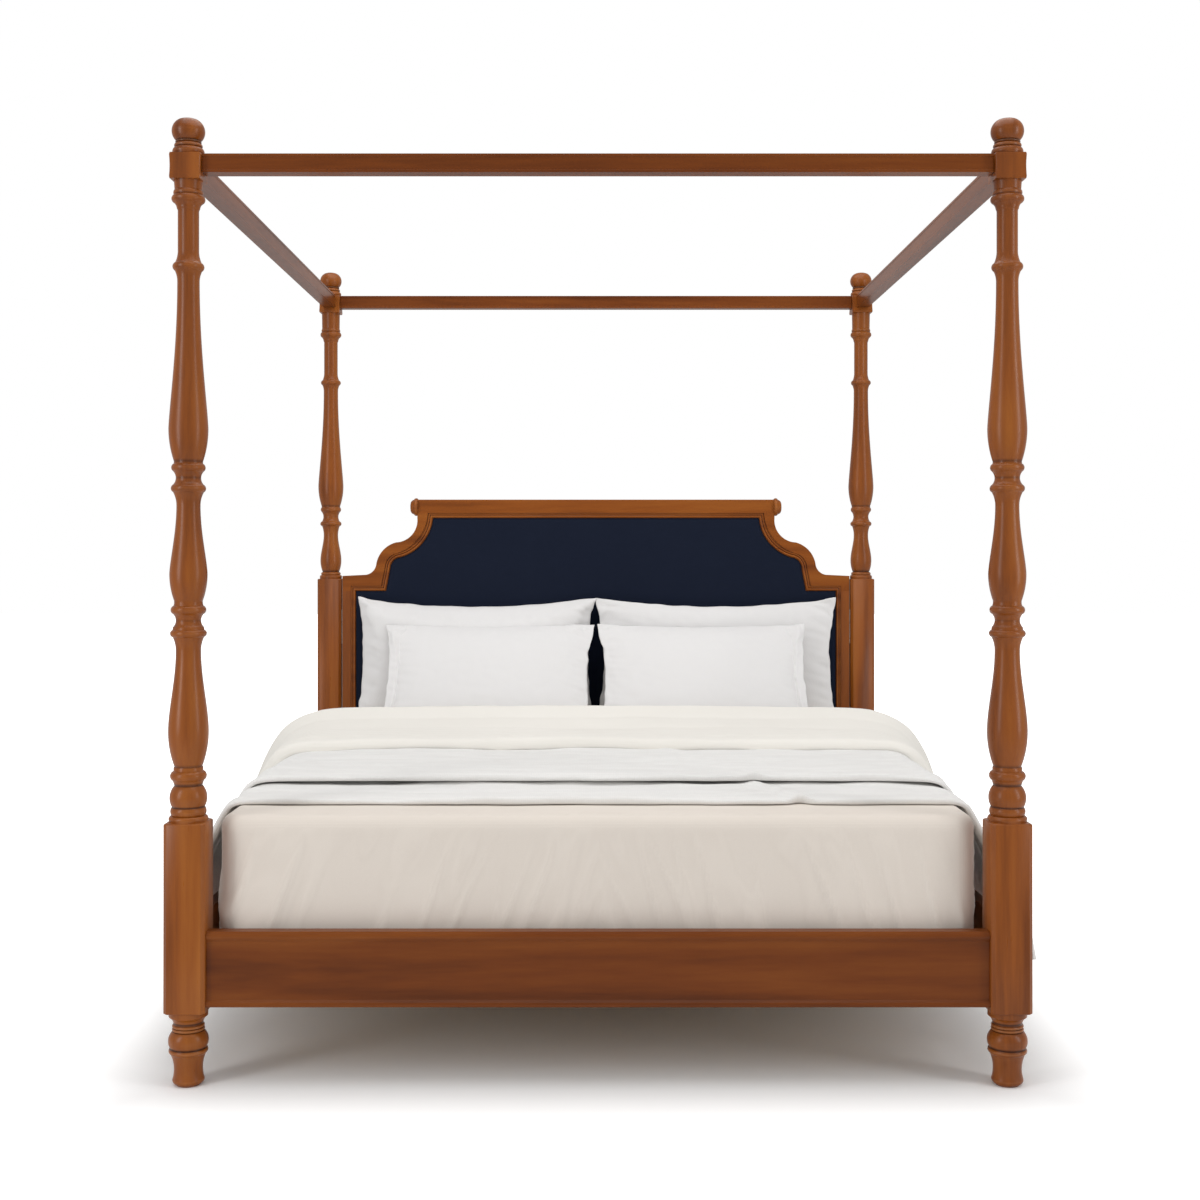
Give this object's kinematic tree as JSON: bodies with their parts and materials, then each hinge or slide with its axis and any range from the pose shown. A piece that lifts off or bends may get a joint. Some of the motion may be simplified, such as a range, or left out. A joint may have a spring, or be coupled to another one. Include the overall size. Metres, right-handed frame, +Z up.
{
  "type": "four poster bed",
  "caption": "Four poster bed: turned posts with finials, canopy rails, serpentine upholstered headboard, low foot rail and full bedding.",
  "frame": {"origin": "on the floor, under the middle of the bed", "axes": "+Z up, +Y from the foot to the head, +X to the right seen from the foot"},
  "size_m": [2.317, 2.1892, 2.3935],
  "materials": {
    "mahogany": "satin lacquer, dark in the turned grooves",
    "headboard_fabric": "plain navy linen",
    "zinc_steel": "zinc plated",
    "pale_wood": "unfinished",
    "glide_plastic": "moulded",
    "foundation_cloth": "woven",
    "mattress_ticking": "woven",
    "coverlet_cloth": "brushed cotton",
    "throw_cloth": "fine knit",
    "duvet_cloth": "cotton percale",
    "pillow_cotton": "cotton percale"
  },
  "bodies": {
    "bed_frame": {"foot_post_base_left": "mahogany", "foot_post_base_right": "mahogany", "foot_post_upper_left": "mahogany", "foot_post_upper_right": "mahogany", "head_post_base_left": "mahogany", "head_post_base_right": "mahogany", "head_post_upper_left": "mahogany", "head_post_upper_right": "mahogany", "canopy_rail_foot": "mahogany", "canopy_rail_head": "mahogany", "canopy_rail_left": "mahogany", "canopy_rail_right": "mahogany", "foot_rail_board": "mahogany", "foot_rail_cap": "mahogany", "foot_rail_base_moulding": "mahogany", "side_rail_left": "mahogany", "side_rail_cap_left": "mahogany", "side_rail_base_moulding_left": "mahogany", "side_rail_right": "mahogany", "side_rail_cap_right": "mahogany", "side_rail_base_moulding_right": "mahogany", "head_rail": "mahogany", "headboard_crest_rail": "mahogany", "headboard_bottom_rail": "mahogany", "headboard_back_board": "mahogany", "headboard_shoulder_left": "mahogany", "headboard_stile_left": "mahogany", "crest_end_boss_left": "mahogany", "headboard_shoulder_right": "mahogany", "headboard_stile_right": "mahogany", "crest_end_boss_right": "mahogany", "headboard_panel": "headboard_fabric", "rail_hook_plates": "zinc_steel", "post_slot_plates": "zinc_steel", "beam_brackets": "zinc_steel", "canopy_rail_tongues": "zinc_steel", "post_joint_screws": "zinc_steel", "slat_ledger_left": "pale_wood", "slat_ledger_right": "pale_wood", "slats": "pale_wood", "centre_beam": "pale_wood", "centre_legs": "pale_wood", "centre_leg_glides": "glide_plastic", "foundation_left": "foundation_cloth", "foundation_right": "foundation_cloth"},
    "mattress_and_covers": {"mattress": "mattress_ticking", "coverlet": "coverlet_cloth", "throw_blanket": "throw_cloth", "duvet_fold": "duvet_cloth"},
    "back_pillow_left": {"back_pillow_left": "pillow_cotton"},
    "front_pillow_left": {"front_pillow_left": "pillow_cotton"},
    "back_pillow_right": {"back_pillow_right": "pillow_cotton"},
    "front_pillow_right": {"front_pillow_right": "pillow_cotton"},
    "finial_foot_left": {"finial_foot_left": "mahogany"},
    "finial_foot_right": {"finial_foot_right": "mahogany"},
    "finial_head_left": {"finial_head_left": "mahogany"},
    "finial_head_right": {"finial_head_right": "mahogany"}
  },
  "joints": [
    {"name": "mattress_lift", "type": "slide", "parent": "bed_frame", "child": "mattress_and_covers", "axis": [0, 0, 1], "range_m": [0, 0.35]},
    {"name": "back_pillow_left_lift", "type": "slide", "parent": "mattress_and_covers", "child": "back_pillow_left", "axis": [0, -0.28, 0.96], "range_m": [0, 0.25]},
    {"name": "front_pillow_left_lift", "type": "slide", "parent": "back_pillow_left", "child": "front_pillow_left", "axis": [0, -0.6, 0.8], "range_m": [0, 0.25]},
    {"name": "back_pillow_right_lift", "type": "slide", "parent": "mattress_and_covers", "child": "back_pillow_right", "axis": [0, -0.28, 0.96], "range_m": [0, 0.25]},
    {"name": "front_pillow_right_lift", "type": "slide", "parent": "back_pillow_right", "child": "front_pillow_right", "axis": [0, -0.6, 0.8], "range_m": [0, 0.25]},
    {"name": "finial_foot_left_lift", "type": "slide", "parent": "bed_frame", "child": "finial_foot_left", "axis": [0, 0, 1], "range_m": [0, 0.045]},
    {"name": "finial_foot_right_lift", "type": "slide", "parent": "bed_frame", "child": "finial_foot_right", "axis": [0, 0, 1], "range_m": [0, 0.045]},
    {"name": "finial_head_left_lift", "type": "slide", "parent": "bed_frame", "child": "finial_head_left", "axis": [0, 0, 1], "range_m": [0, 0.045]},
    {"name": "finial_head_right_lift", "type": "slide", "parent": "bed_frame", "child": "finial_head_right", "axis": [0, 0, 1], "range_m": [0, 0.045]}
  ]
}
